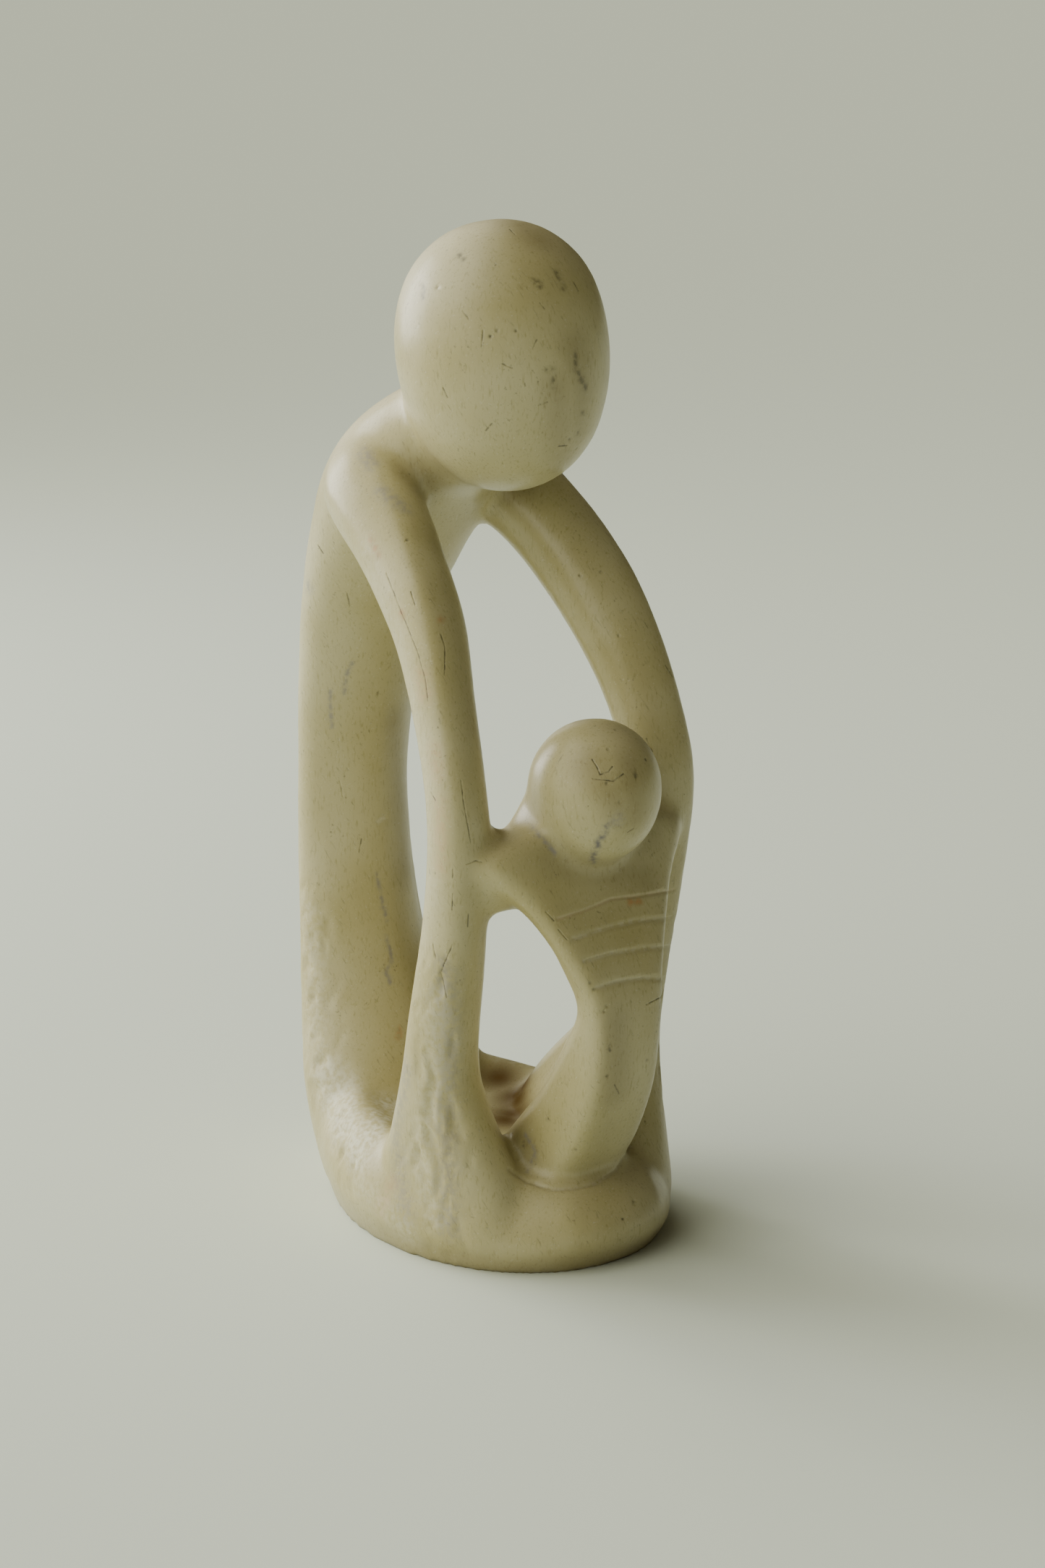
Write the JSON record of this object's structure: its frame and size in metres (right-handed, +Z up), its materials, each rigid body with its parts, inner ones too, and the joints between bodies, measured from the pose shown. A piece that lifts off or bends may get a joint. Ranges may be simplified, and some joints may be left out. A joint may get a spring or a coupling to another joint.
{
  "type": "soapstone sculpture",
  "caption": "Carved soapstone figure of a parent bent over a child, arms making an open loop, on a solid oval foot cut from the same block.",
  "frame": {"origin": "on the flat underside, in the plane that halves the figure", "axes": "+Z up, +Y towards the parent's back, -Y towards the child's front, +X towards the arm on the far side"},
  "size_m": [0.0699, 0.1059, 0.2201],
  "materials": {
    "soapstone": "polished and waxed olive-grey stone, rough and chalky in places"
  },
  "bodies": {
    "root": {"soapstone_figure": "soapstone"}
  },
  "joints": []
}
